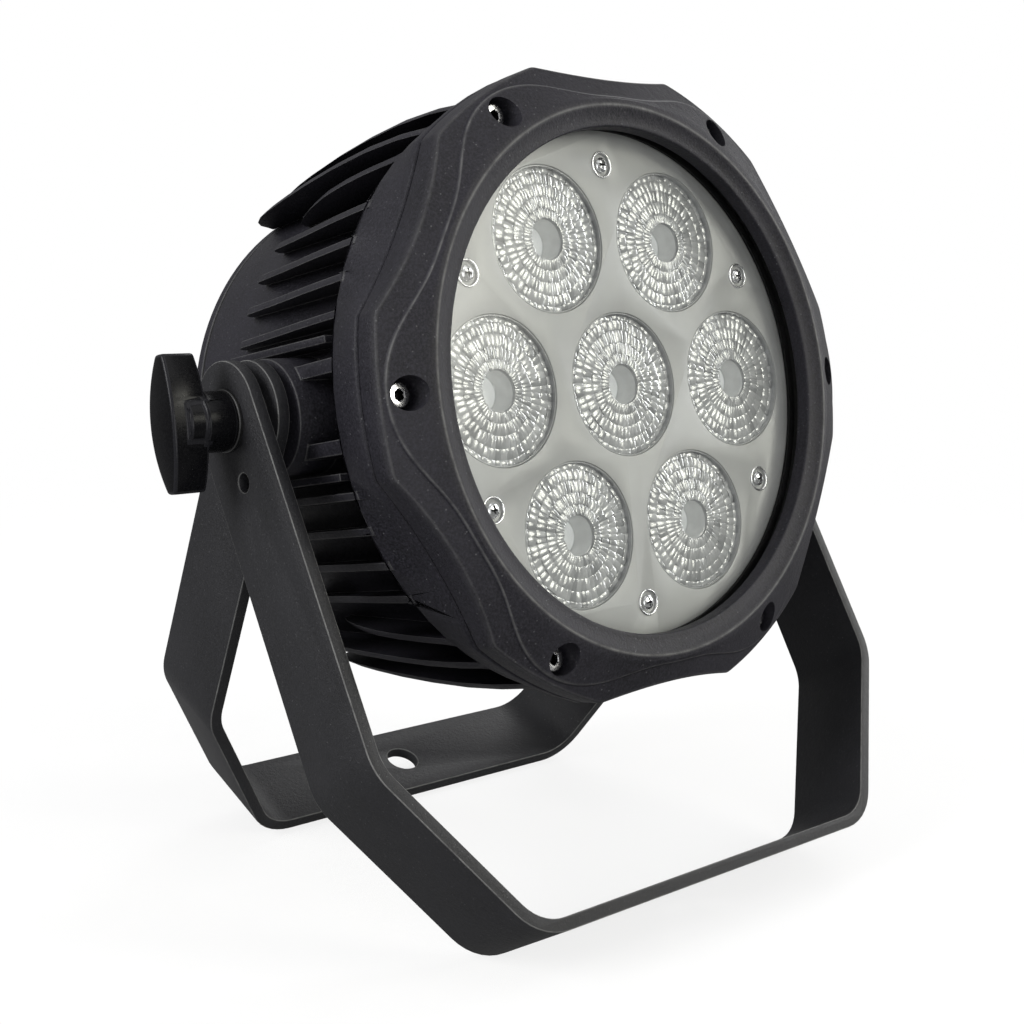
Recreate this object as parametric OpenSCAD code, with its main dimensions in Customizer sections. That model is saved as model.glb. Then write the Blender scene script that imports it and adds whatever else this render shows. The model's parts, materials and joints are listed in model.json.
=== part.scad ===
// Par can light: a die-cast LED wash light held in a folding double bracket.
// Row frame: +X to the right seen from the front, +Y towards the back, +Z up.
// Head frame: x right, y up, z forward out of the lenses, z = 0 on the bezel's face.

/* [Head] */
// Upward tilt of the beam, in degrees
beam_tilt = 12.5; // [0:0.5:20]
// Distance from the bezel's face back to the pivot axis
pivot_depth = 59; // [57:0.5:61]
// Radius to the corners of the twelve-sided bezel and flange
corner_r = 92.3; // [92:0.1:93]
// Angle from the middle of a lobe to its corners, in degrees
lobe_half_angle = 13.2; // [12:0.1:14]
// Outward bow of the short lobe edges
lobe_bow = 2.0; // [0.5:0.1:2.2]
// Inward bow of the long edges between lobes
long_bow = 2.1; // [0.5:0.1:2.2]
// Radius of the round opening over the glass
opening_r = 72.1; // [71:0.1:73]
// Radius of the rear drum
drum_r = 76.6; // [76:0.1:77]
// Depth from the bezel's face to the back of the rear cover
head_depth = 122; // [120:1:126]

/* [Lenses] */
// Radius of the ring of six outer lenses
lens_ring_r = 48; // [47.5:0.1:48.5]
// Radius of one lens
lens_r = 20.8; // [20:0.1:21]
// Radius of the ring of lens plate screws
plate_screw_ring_r = 63.5; // [63:0.1:64]

/* [Brackets] */
// Width of the steel strip
strip_w = 29.6; // [28:0.2:30]
// Thickness of the steel strip
strip_t = 3.6; // [3:0.1:3.8]
// Forward lean of the front bracket, in degrees
front_lean = 32.7; // [30:0.1:35]
// Backward lean of the rear bracket, in degrees
rear_lean = 20.9; // [18:0.1:24]
// Half width over the front bracket's legs
front_half_w = 102.9; // [102.9:0.1:104]
// Half width over the rear bracket's legs
rear_half_w = 96.3; // [96.3:0.1:96.8]
// Half width over the front bracket's bottom bar corners
front_bar_half_w = 69.3; // [68:0.1:71]
// Half width over the rear bracket's bottom bar corners
rear_bar_half_w = 65.5; // [64:0.1:66]
// Length of the front bracket's straight legs, from the pivot to the bend
front_leg = 104.4; // [103:0.1:106]
// Length of the rear bracket's straight legs, from the pivot to the bend
rear_leg = 93.2; // [92:0.1:94]
// Distance from the pivot to the underside of the front bracket's bar
front_drop = 155.7; // [155:0.1:157]
// Radius of the clamp hole in each bottom bar
clamp_hole_r = 5.5; // [5.2:0.05:6.5]

/* [Clamp knobs] */
// Height of the knob's wing, end to end
knob_h = 37; // [34:0.5:40]
// Distance from the centre plane to the knob's outermost point
knob_out_x = 122.5; // [121.5:0.5:124.5]
// Lean of the knob's wing from the head's upright, in degrees
knob_lean = 2; // [-90:1:90]
// Radius of the knob's stud
stud_r = 3.95; // [3.9:0.01:3.97]

/* [Rear controls] */
// Distance between neighbouring menu buttons
button_pitch = 18; // [16:0.5:20]
// Radius of a menu button
button_r = 4.1; // [3.8:0.05:4.2]

/* [Hidden] */
$fn = 96;

// Colours
black_coat = [0.10, 0.10, 0.11];
black_plastic = [0.06, 0.06, 0.07];
rubber_black = [0.04, 0.04, 0.04];
bright_steel = [0.75, 0.76, 0.78];
plate_grey = [0.62, 0.64, 0.62];
clear_tint = [0.80, 0.86, 0.88, 0.4];
board_green = [0.08, 0.32, 0.18];
brass = [0.78, 0.64, 0.32];

// Clearances
gap = 0.1;
thread_gap = 0.05;
face_gap = 0.02;
eps = 0.5;

// Levels along the head's z axis
ridge_z = 2.4;
rim_z = 1;
lip_z = -3.6;
bezel_back_z = -12.7;
flange_z = bezel_back_z - 0.2;
flange_bend_z = -15.5;
flange_back_z = -27.5;
floor_front_z = -31;
floor_back_z = -36;
drum_end_z = 6 - head_depth;
cover_front_z = drum_end_z - 1;
cover_back_z = -head_depth;

// Bezel
ridge_r = 78.5;
face_slope = 0.477;
pocket_r = 77.6;
lobe_angles = [for (k = [0:5]) 60 * k];
screw_ring_r = 85;
screw_pocket_r = 4.5;
screw_seat_z = -9;
step_h = 0.8;
seam_chamfer = 0.7;

// Brackets and pivot
half_w = strip_w / 2;
pivot_h = front_drop * cos(front_lean) + half_w * sin(front_lean);
rear_drop = (pivot_h - half_w * sin(rear_lean)) / cos(rear_lean);
front_reach = front_drop * sin(front_lean) + half_w * cos(front_lean);
boss_face_x = 90;
boss_r = 16.4;
pivot_hole_r = 4.25;
bend_r = 18;
ear_rise = 1.6;
leg_hole_r = 2.65;
leg_hole_u = 18;
washer_r = 11;

// Safety loop, the rearmost piece, which fixes the row's Y origin
loop_y = 58;
loop_r = 10;
loop_hole_r = 5.5;
loop_t = 4;
loop_z = cover_back_z - 12;
rear_reach = loop_y * sin(beam_tilt) - (loop_z + pivot_depth) * cos(beam_tilt) + loop_r;
pivot_y = (front_reach - rear_reach) / 2;

// Fins: height above the head's axis, each mirrored below it
side_fins = [24, 33.8, 43.5, 53.2];
boss_ribs = [10.8];
stub_ribs = [18.6];
middle_fin = 66.5;
top_fins = [74.5, 83];
fin_t = 2.2;
rib_t = 4;
fin_fan = 5.2;
side_fin_end_z = -92;
top_fin_end_z = cover_back_z + 1;

// Rear cover fittings: places seen from behind are mirrored in x
cover_screw_ring_r = 69.5;
cover_screw_angles = [for (k = [0:5]) 30 + 60 * k];
gland_places = [[-44, -28], [-22, -47], [22, -47], [44, -28]];
vent_place = [54, 12];
window_size = [50, 18];
window_y = 17;
button_y = -8;
button_travel = 0.7;
board_back_z = -108.6;
board_front_z = board_back_z + 1.6;

// Knob levels along X
hub_x = front_half_w + 1.1;
wing_x = knob_out_x - 10.5;

// ---------- frames ----------

module head() {
    translate([0, pivot_y, pivot_h])
        rotate([90 - beam_tilt, 0, 0])
            translate([0, 0, pivot_depth])
                children();
}

// Turns a shape drawn along +z so that it points along +x, from the pivot axis
module along_pivot(x) {
    translate([x, 0, -pivot_depth])
        rotate([0, 90, 0])
            children();
}

module sides() {
    children();
    mirror([1, 0, 0]) children();
}

module at_angles(r, angles) {
    for (a = angles)
        rotate([0, 0, a])
            translate([r, 0, 0])
                children();
}

module tube(r_out, r_in, z0, z1) {
    translate([0, 0, z0])
        difference() {
            cylinder(h = z1 - z0, r = r_out);
            translate([0, 0, -1]) cylinder(h = z1 - z0 + 2, r = r_in);
        }
}

module rod(r, z0, z1) {
    translate([0, 0, z0]) cylinder(h = z1 - z0, r = r);
}

module block(w, d, z0, z1) {
    translate([-w / 2, -d / 2, z0]) cube([w, d, z1 - z0]);
}

module round_plate(w, d, r, z0, z1) {
    block(w - 2 * r, d, z0, z1);
    block(w, d - 2 * r, z0, z1);
    for (x = [-1, 1], y = [-1, 1])
        translate([x * (w / 2 - r), y * (d / 2 - r), 0])
            rod(r, z0, z1);
}

// ---------- twelve-sided outline ----------

function polar(r, a) = [r * cos(a), r * sin(a)];

// Points along one edge between two corners, bowed outward at its middle
function edge_points(a0, a1, bow, steps) = [
    for (i = [0:steps - 1])
        let (t = i / steps)
            polar(corner_r, a0) * (1 - t) + polar(corner_r, a1) * t
                + polar(4 * bow * t * (1 - t), (a0 + a1) / 2)
];

function twelve_sided() = [
    for (a = lobe_angles)
        each concat(
            edge_points(a - lobe_half_angle, a + lobe_half_angle, lobe_bow, 5),
            edge_points(a + lobe_half_angle, a + 60 - lobe_half_angle, -long_bow, 6))
];

// Wavy outline of the raised plateau: close to the edge at the lobes, further in between them
function plateau_radius(a) =
    let (wave = cos(6 * a))
    84.6 + 5.8 * wave + 0.9 * wave * wave - 0.9 * pow(wave, 3);

function plateau_points() = [for (i = [0:89]) polar(plateau_radius(4 * i), 4 * i)];

module prism(z0, z1, shrink = 0) {
    translate([0, 0, z0])
        linear_extrude(height = z1 - z0)
            scale((corner_r - shrink) / corner_r)
                polygon(twelve_sided());
}

// ---------- brackets ----------

// Rounded corner between two straight stretches of a path
function fillet_points(p, a, b, r, steps = 7) =
    let (
        ua = (a - p) / norm(a - p),
        ub = (b - p) / norm(b - p),
        half = acos(ua * ub) / 2,
        reach = r / tan(half),
        middle = p + (ua + ub) / norm(ua + ub) * (r / sin(half)),
        start = p + ua * reach - middle,
        end = p + ub * reach - middle,
        a0 = atan2(start[1], start[0]),
        turn = atan2(end[1], end[0]) - a0,
        sweep = turn > 180 ? turn - 360 : (turn < -180 ? turn + 360 : turn))
    [for (i = [0:steps]) middle + polar(r, a0 + sweep * i / steps)];

// One U-shaped outline, its corners rounded, drawn as x across and y downward from the pivot
function u_outline(x, leg, bar_x, drop, r) =
    let (
        p = [[-x, -40], [-x, leg], [-bar_x, drop], [bar_x, drop], [x, leg], [x, -40]])
    concat(
        [p[0]],
        fillet_points(p[1], p[0], p[2], r),
        fillet_points(p[2], p[1], p[3], r),
        fillet_points(p[3], p[2], p[4], r),
        fillet_points(p[4], p[3], p[5], r),
        [p[5]]);

module strip_section(x, leg, bar_x, drop) {
    dx = x - bar_x;
    dy = drop - leg;
    slope = atan2(dx, dy);
    difference() {
        polygon(u_outline(x, leg, bar_x, drop, bend_r));
        polygon(u_outline(x - strip_t, leg - strip_t * tan(slope / 2),
            bar_x - strip_t * tan((90 - slope) / 2), drop - strip_t, bend_r - strip_t));
    }
}

// A bracket standing straight down from the pivot, its width along y
module bracket(x, leg, bar_x, drop) {
    difference() {
        intersection() {
            translate([0, half_w, 0])
                rotate([90, 0, 0])
                    mirror([0, 1, 0])
                        linear_extrude(height = strip_w)
                            strip_section(x, leg, bar_x, drop);
            rotate([0, 90, 0])
                translate([0, 0, -x - eps])
                    union() {
                        translate([-ear_rise, 0, 0])
                            cylinder(h = 2 * (x + eps), r = half_w);
                        translate([-ear_rise, -half_w, 0])
                            cube([drop + ear_rise + eps, strip_w, 2 * (x + eps)]);
                    }
        }
        rotate([0, 90, 0])
            translate([0, 0, -x - eps])
                cylinder(h = 2 * (x + eps), r = pivot_hole_r);
        rod(clamp_hole_r, -drop - eps, -drop + strip_t + eps);
    }
}

module at_pivot(lean) {
    translate([0, pivot_y, pivot_h])
        rotate([lean, 0, 0])
            children();
}

module front_bracket() {
    color(black_coat)
        at_pivot(-front_lean)
            difference() {
                bracket(front_half_w, front_leg, front_bar_half_w, front_drop);
                translate([-front_half_w - eps, 1, -leg_hole_u])
                    rotate([0, 90, 0])
                        cylinder(h = 2 * (front_half_w + eps), r = leg_hole_r);
            }
}

module rear_bracket() {
    color(black_coat)
        at_pivot(rear_lean)
            bracket(rear_half_w, rear_leg, rear_bar_half_w, rear_drop);
}

// A flat washer on the right-hand pivot
module pivot_washer(x0, x1, r, hole_r) {
    head()
        along_pivot(0)
            tube(r, hole_r, x0, x1);
}

module outer_washer_right() {
    color(rubber_black)
        pivot_washer(rear_half_w + face_gap, front_half_w - strip_t - face_gap, washer_r, pivot_hole_r);
}

module outer_washer_left() {
    mirror([1, 0, 0]) outer_washer_right();
}

module inner_washer_right() {
    color(rubber_black)
        pivot_washer(boss_face_x, rear_half_w - strip_t - face_gap, washer_r, pivot_hole_r);
}

module inner_washer_left() {
    mirror([1, 0, 0]) inner_washer_right();
}

// ---------- body ----------

insert_r = 6.5;
insert_in_x = 73;
drum_wall = 4;
chamber_r = 74.6;
spigot_r = 77.4;
spigot_z = -8.4;
post_r = 3.2;
disc_r = 89.2;

// Outer edge of the side fins in plan: a gentle taper with a blunt, rounded tip
side_fin_profile = [
    [drum_r - 2, flange_back_z + 1],
    [disc_r, flange_back_z + 1],
    [88.3, -36], [86.9, -48], [85.1, -60], [83.4, -72], [82.2, -82], [81.6, -86.5],
    [80.6, -89], [78.4, -91.2], [drum_r - 2, side_fin_end_z]
];

// Outer edge of the middle fins, which bulge and then curve down onto the drum
middle_fin_profile = [
    [drum_r - 2, flange_back_z + 1],
    [disc_r, flange_back_z + 1],
    [89.6, -40], [89.2, -50], [88, -60], [85.4, -71], [82.6, -80], [80.2, -85.5],
    [77.6, -88.5], [drum_r - 2, -89.5]
];

top_fin_profile = [
    [drum_r - 2, flange_back_z + 1],
    [disc_r, flange_back_z + 1],
    [91.2, -34], [92, -45], [91.4, -60], [90, -75], [88, -90], [86.4, -100], [85, -107],
    [83.2, -112], [81, -115.4], [78.6, -117.2], [drum_r - 2, top_fin_end_z]
];

module fin(y, t, fan) {
    translate([0, y, flange_back_z])
        rotate([-fan, 0, 0])
            translate([-100, -t / 2, -100])
                cube([200, t, 105]);
}

module side_fin_set() {
    intersection() {
        rotate_extrude() polygon(side_fin_profile);
        for (y = side_fins, s = [-1, 1])
            fin(s * y, fin_t, 0);
    }
    intersection() {
        rotate_extrude() polygon(side_fin_profile);
        for (y = boss_ribs, s = [-1, 1])
            fin(s * y, rib_t, 0);
    }
    intersection() {
        rotate_extrude() polygon(middle_fin_profile);
        union() {
            fin(middle_fin, fin_t, fin_fan);
            mirror([0, 1, 0]) fin(middle_fin, fin_t, fin_fan);
        }
    }
}

module top_fin_set() {
    difference() {
        intersection() {
            rotate_extrude() polygon(top_fin_profile);
            union() {
                for (y = top_fins) {
                    fin(y, fin_t, fin_fan);
                    mirror([0, 1, 0]) fin(y, fin_t, fin_fan);
                }
            }
        }
        // room for the rear cover inside the fins' tails
        rod(drum_r + 0.3, cover_back_z - 2, drum_end_z);
    }
    // upright ribs that tie the outermost fins to the drum
    for (x = [-22, 0, 22], s = [-1, 1])
        translate([x - 1.5, s > 0 ? 70 : -80, -90])
            cube([3, 10, 62]);
}

// The flange: twelve-sided at the seam, flaring into a round disc where the fins begin
module flange() {
    outline = twelve_sided();
    n = len(outline);
    points = concat(
        [for (p = outline) [each p * (corner_r - seam_chamfer) / corner_r, flange_z]],
        [for (p = outline) [each p, flange_z - seam_chamfer]],
        [for (p = outline) [each p, flange_bend_z]],
        [for (p = outline) [each p * disc_r / norm(p), flange_back_z]],
        [[0, 0, flange_z], [0, 0, flange_back_z]]);
    front_cap = [for (i = [0:n - 1]) [(i + 1) % n, i, 4 * n]];
    back_cap = [for (i = [0:n - 1]) [3 * n + i, 3 * n + (i + 1) % n, 4 * n + 1]];
    bands = [
        for (k = [0:2], i = [0:n - 1])
            let (a = k * n + i, b = k * n + (i + 1) % n)
            each [[a, b, a + n], [b, b + n, a + n]]
    ];
    polyhedron(points, concat(front_cap, bands, back_cap));
    rod(spigot_r, flange_z - 1, spigot_z);
}

module pivot_boss() {
    along_pivot(70) cylinder(h = boss_face_x - 70, r = boss_r);
    // short ribs beside the boss
    for (y = stub_ribs, s = [-1, 1])
        translate([70, s * y - fin_t / 2, -84])
            cube([14, fin_t, 48]);
}

module body_outside() {
    flange();
    rod(drum_r, drum_end_z, flange_back_z + 1);
    side_fin_set();
    top_fin_set();
    sides() pivot_boss();
}

module heatsink_body() {
    color(black_coat)
        head()
            difference() {
                union() {
                    difference() {
                        body_outside();
                        rod(chamber_r, floor_front_z, 0);
                        rod(drum_r - drum_wall, drum_end_z - 1, floor_back_z);
                    }
                    // pads that the pivot inserts screw into
                    sides()
                        along_pivot(66) cylinder(h = 8, r = 11);
                    at_angles(plate_screw_ring_r, cover_screw_angles)
                        rod(post_r, floor_front_z - 1, -10.25);
                    at_angles(cover_screw_ring_r, cover_screw_angles)
                        rod(4, drum_end_z + 0.5, floor_back_z + 1);
                }
                sides()
                    along_pivot(insert_in_x) cylinder(h = 40, r = insert_r);
                at_angles(screw_ring_r, lobe_angles)
                    rod(2, -25, 0);
                at_angles(plate_screw_ring_r, cover_screw_angles)
                    rod(1.3, -20, 0);
                at_angles(cover_screw_ring_r, cover_screw_angles)
                    rod(2, drum_end_z - 1, drum_end_z + 12);
                tube(82.3, 79.3, flange_z - 1.2, 0);
                at_angles(54.5, [15, 195])
                    rod(1.6, -35, 0);
                // passage for the leads between the driver and the LED board
                translate([0, 24, 0]) rod(4, -40, 0);
            }
}

module pivot_inserts() {
    color(brass)
        head()
            sides()
                along_pivot(0)
                    tube(insert_r - thread_gap, stud_r + thread_gap, insert_in_x, boss_face_x);
}

// ---------- bezel, glass and lens plate ----------

function cone_z(r) = ridge_z - (r - ridge_r) * face_slope;

// Cross-section of the bezel ring; drop lowers its sloping face
module bezel_section(drop) {
    far_r = 96;
    polygon([
        [opening_r, lip_z], [opening_r, rim_z - 0.6], [opening_r + 0.5, rim_z],
        [ridge_r - 1.4, ridge_z], [ridge_r - 0.3, ridge_z - 0.1],
        [ridge_r + 0.6, cone_z(ridge_r + 0.6) - drop],
        [far_r, cone_z(far_r) - drop], [far_r, bezel_back_z], [pocket_r, bezel_back_z], [pocket_r, lip_z]
    ]);
}

module front_bezel() {
    color(black_coat)
        head()
            difference() {
                union() {
                    intersection() {
                        rotate_extrude() bezel_section(step_h);
                        prism(bezel_back_z + seam_chamfer, 5);
                    }
                    intersection() {
                        rotate_extrude() bezel_section(0);
                        translate([0, 0, bezel_back_z + 2])
                            linear_extrude(height = 20)
                                polygon(plateau_points());
                    }
                    intersection() {
                        rotate_extrude() bezel_section(step_h);
                        prism(bezel_back_z, bezel_back_z + 4, seam_chamfer);
                    }
                }
                at_angles(screw_ring_r, lobe_angles) {
                    rod(screw_pocket_r, screw_seat_z, 6);
                    rod(2.25, bezel_back_z - 1, 0);
                }
            }
}

module bezel_gasket() {
    color(rubber_black)
        head()
            tube(82.2, 79.4, flange_z - 1.2, bezel_back_z);
}

module socket_screw(head_r, head_h, shank_r, length, key_r) {
    difference() {
        union() {
            rod(head_r, 0, head_h - 0.4);
            translate([0, 0, head_h - 0.4]) cylinder(h = 0.4, r1 = head_r, r2 = head_r - 0.4);
            rod(shank_r, -length, 0.5);
        }
        translate([0, 0, head_h - 2.2]) cylinder(h = 3, r = key_r, $fn = 6);
    }
}

// Low round-headed screw with a cross recess
module pan_screw(head_r, head_h, shank_r, length) {
    difference() {
        union() {
            rod(head_r, 0, head_h * 0.5);
            translate([0, 0, head_h * 0.5])
                cylinder(h = head_h * 0.5, r1 = head_r, r2 = head_r * 0.7);
            rod(shank_r, -length, 0.2);
        }
        for (a = [0, 90])
            rotate([0, 0, a])
                block(head_r * 1.1, head_r * 0.28, head_h * 0.45, head_h + 1);
    }
}

module bezel_screws() {
    color(bright_steel)
        head()
            at_angles(screw_ring_r, lobe_angles)
                translate([0, 0, screw_seat_z])
                    socket_screw(3.4, 4, 1.95, 14, 1.75);
}

glass_front_z = -4.3;
glass_back_z = -7.5;
glass_r = 75.5;

module front_glass() {
    color(clear_tint)
        head()
            rod(glass_r, glass_back_z, glass_front_z);
}

// U-shaped silicone channel round the edge of the glass
module glass_seal() {
    color(plate_grey)
        head()
            rotate_extrude()
                polygon([
                    [73.2, lip_z], [pocket_r - gap, lip_z], [pocket_r - gap, spigot_z],
                    [73.2, spigot_z], [73.2, glass_back_z], [glass_r, glass_back_z],
                    [glass_r, glass_front_z], [73.2, glass_front_z]
                ]);
}

plate_front_z = -8.75;
plate_back_z = -10.25;
lens_centers = concat([[0, 0]], [for (a = lobe_angles) polar(lens_ring_r, a)]);

module lens_plate() {
    color(plate_grey)
        head()
            difference() {
                rod(chamber_r - 0.4, plate_back_z, plate_front_z);
                for (p = lens_centers)
                    translate(p) rod(lens_r + gap, -12, -7);
                at_angles(plate_screw_ring_r, cover_screw_angles) {
                    rod(1.5, -12, -7);
                    rod(3.2, plate_front_z - 0.6, -7);
                }
            }
}

module lens_plate_screws() {
    color(bright_steel)
        head()
            at_angles(plate_screw_ring_r, cover_screw_angles)
                translate([0, 0, plate_front_z - 0.6])
                    pan_screw(2.5, 1.3, 1.25, 9);
}

// ---------- optics ----------

lens_front_z = -9.8;
lens_well_z = lens_front_z - 7.6;
lens_ledge_z = -12;
lens_back_z = -28.2;
holder_r = 22;

// One collimator lens with its stepped front and a cup over the emitter
module lens(p) {
    color(clear_tint)
        head()
            translate(p)
                rotate_extrude()
                    polygon([
                        [0, lens_well_z], [5.5, lens_well_z], [5.7, lens_front_z - 0.3],
                        [lens_r - 0.5, lens_front_z], [lens_r, lens_front_z - 0.5],
                        [lens_r, lens_ledge_z], [19.3, lens_ledge_z], [18.2, -16], [15.4, -21],
                        [11.4, -25.5], [7, lens_back_z], [4.8, lens_back_z], [4.2, -22],
                        [2.4, -20.6], [0, -20.2]
                    ]);
}

module lens_center() { lens(lens_centers[0]); }
module lens_1() { lens(lens_centers[1]); }
module lens_2() { lens(lens_centers[2]); }
module lens_3() { lens(lens_centers[3]); }
module lens_4() { lens(lens_centers[4]); }
module lens_5() { lens(lens_centers[5]); }
module lens_6() { lens(lens_centers[6]); }

board_z = floor_front_z + 1.6;

module lens_holders() {
    color(black_plastic)
        head()
            for (p = lens_centers)
                translate(p)
                    difference() {
                        rod(holder_r, board_z, plate_back_z - gap);
                        rod(19.6, board_z - 1, 0);
                        rod(lens_r + gap, lens_ledge_z, 0);
                    }
}

module led_board() {
    color([0.85, 0.86, 0.84])
        head()
            difference() {
                rod(60, floor_front_z, board_z);
                at_angles(54.5, [15, 195]) rod(1.7, -35, 0);
                at_angles(24, [30, 210]) rod(1.7, -35, 0);
                at_angles(plate_screw_ring_r, cover_screw_angles) rod(post_r + 0.3, -35, 0);
                translate([0, 24, 0]) rod(2.5, -40, 0);
            }
}

module led_emitters() {
    color([0.9, 0.85, 0.5])
        head()
            for (p = lens_centers)
                translate(p) {
                    block(7, 7, board_z, board_z + 0.9);
                    intersection() {
                        translate([0, 0, board_z - 1.4]) sphere(r = 4.2);
                        rod(3.4, board_z, board_z + 4);
                    }
                }
}

module led_board_screws() {
    color(bright_steel)
        head()
            at_angles(54.5, [15, 195])
                translate([0, 0, board_z])
                    pan_screw(2.6, 1.8, 1.5, 5);
}

// ---------- driver ----------

driver_front_z = -50;
driver_back_z = driver_front_z - 1.6;
standoff_x = 44;
standoff_y = 30;

module driver_corners() {
    for (x = [-standoff_x, standoff_x], y = [-standoff_y, standoff_y])
        translate([x, y, 0]) children();
}

module driver_board() {
    color(board_green)
        head()
            difference() {
                block(102, 72, driver_back_z, driver_front_z);
                driver_corners() rod(1.7, driver_back_z - 1, 0);
            }
}

module driver_standoffs() {
    color(bright_steel)
        head()
            driver_corners() {
                rod(3.4, driver_front_z, floor_back_z);
                rod(1.6, driver_back_z - 1, driver_front_z + 1);
                rod(2.8, driver_back_z - 2, driver_back_z);
            }
}

module driver_transformer() {
    color([0.75, 0.68, 0.35])
        head()
            translate([-26, 6, 0]) {
                block(32, 28, driver_back_z - 6, driver_back_z);
                block(22, 28, driver_back_z - 24, driver_back_z - 6);
            }
}

module driver_capacitors() {
    color([0.12, 0.16, 0.30])
        head() {
            translate([8, 18, 0]) rod(8, driver_back_z - 25, driver_back_z);
            translate([8, -2, 0]) rod(8, driver_back_z - 25, driver_back_z);
            translate([26, -18, 0]) rod(5, driver_back_z - 16, driver_back_z);
            translate([38, -18, 0]) rod(5, driver_back_z - 16, driver_back_z);
        }
}

module driver_heat_bar() {
    color([0.7, 0.7, 0.72])
        head()
            translate([30, 8, 0]) {
                block(26, 3, driver_back_z - 22, driver_back_z);
                for (x = [-8, 0, 8])
                    translate([x, 3.5, 0]) block(6, 4, driver_back_z - 16, driver_back_z - 2);
            }
}

// ---------- rear cover and controls ----------

cover_round = 2.5;
panel_back_z = cover_back_z - 2;
button_places = [for (i = [-1.5, -0.5, 0.5, 1.5]) [i * button_pitch, button_y]];
control_posts = [[-36, 26], [36, 26], [-30, -18], [30, -18]];

module rear_cover() {
    color(black_coat)
        head()
            difference() {
                union() {
                    rotate_extrude()
                        polygon(concat(
                            [[0, cover_front_z], [drum_r, cover_front_z]],
                            [for (i = [0:6])
                                [drum_r - cover_round, cover_back_z + cover_round]
                                    + polar(cover_round, -15 * i)],
                            [[0, cover_back_z]]));
                    // raised panel round the display and the buttons
                    translate([0, 6, 0])
                        round_plate(84, 48, 6, panel_back_z, cover_back_z + 1);
                    for (p = control_posts)
                        translate(p) rod(3, cover_front_z - 1, board_back_z);
                }
                translate([0, window_y, 0]) {
                    block(window_size[0] - 6, window_size[1] - 4, cover_back_z - 5, cover_front_z + 1);
                    block(window_size[0] + 0.2, window_size[1] + 0.2, panel_back_z - 1, panel_back_z + 1.5);
                }
                for (p = button_places)
                    translate(p) rod(button_r + thread_gap, cover_back_z - 5, cover_front_z + 1);
                for (p = gland_places)
                    translate(p) rod(8.05, cover_back_z - 5, cover_front_z + 1);
                translate(vent_place) rod(6.05, cover_back_z - 5, cover_front_z + 1);
                at_angles(cover_screw_ring_r, cover_screw_angles)
                    rod(2.2, cover_back_z - 1, cover_front_z + 1);
                for (x = [-13, 13])
                    translate([x, loop_y, 0]) rod(2, cover_back_z - 1, cover_front_z - 1);
            }
}

module rear_cover_gasket() {
    color(rubber_black)
        head()
            difference() {
                tube(drum_r - 0.3, 65.3, cover_front_z, drum_end_z);
                at_angles(cover_screw_ring_r, cover_screw_angles)
                    rod(2.3, cover_front_z - 1, drum_end_z + 1);
            }
}

// Screws driven from behind, their heads on the cover's back face
module back_screws(places, head_r, head_h, shank_r, length) {
    for (p = places)
        translate([p[0], p[1], cover_back_z])
            mirror([0, 0, 1])
                pan_screw(head_r, head_h, shank_r, length);
}

module rear_cover_screws() {
    color(bright_steel)
        head()
            back_screws([for (a = cover_screw_angles) polar(cover_screw_ring_r, a)], 3.9, 2.4, 1.95, 16);
}

module control_board() {
    color(board_green)
        head()
            difference() {
                translate([0, 4, 0]) block(80, 52, board_back_z, board_front_z);
                translate([0, 34, 0]) rod(3, board_back_z - 1, board_front_z + 1);
            }
}

module display_module() {
    color(black_plastic)
        head()
            translate([0, window_y, 0])
                block(48, 17, -115.5, board_back_z);
}

module display_window() {
    color([0.25, 0.05, 0.05, 0.7])
        head()
            translate([0, window_y, 0])
                block(window_size[0], window_size[1], panel_back_z, panel_back_z + 1.5);
}

switch_z = -111.2;

module button_switches() {
    color([0.2, 0.2, 0.2])
        head()
            for (p = button_places)
                translate(p) {
                    block(6, 6, switch_z + 0.6, board_back_z);
                    rod(1.7, switch_z, switch_z + 0.7);
                }
}

// A menu button: a round cap through the cover with a collar that keeps it in
module menu_button(i) {
    color(black_plastic)
        head()
            translate(button_places[i]) {
                rod(button_r, panel_back_z - 2.2, switch_z - button_travel - gap);
                rod(button_r + 1.4, cover_front_z + 0.1, cover_front_z + 1.9);
            }
}

module menu_button_1() { menu_button(0); }
module menu_button_2() { menu_button(1); }
module menu_button_3() { menu_button(2); }
module menu_button_4() { menu_button(3); }

// ---------- glands, vent and safety loop ----------

gland_hex_r = 11.5;
gland_thread_r = 8;
gland_mouth_r = 3.6;
gland_end_z = cover_back_z - 23;

module at_glands() {
    for (p = gland_places)
        translate(p) children();
}

module gland_bodies() {
    color(black_plastic)
        head()
            at_glands()
                difference() {
                    union() {
                        rod(gland_thread_r, cover_back_z - 12, cover_front_z + 6);
                        translate([0, 0, cover_back_z - 5]) cylinder(h = 5, r = gland_hex_r, $fn = 6);
                    }
                    rod(5.6, cover_back_z - 13, cover_front_z + 7);
                }
}

module gland_locknuts() {
    color(black_plastic)
        head()
            at_glands()
                difference() {
                    translate([0, 0, cover_front_z]) cylinder(h = 4, r = gland_hex_r, $fn = 6);
                    rod(gland_thread_r + thread_gap, cover_front_z - 1, cover_front_z + 5);
                }
}

module gland_seals() {
    color(rubber_black)
        head()
            at_glands()
                tube(5.5, gland_mouth_r, cover_back_z - 16, cover_back_z - 3);
}

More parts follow.
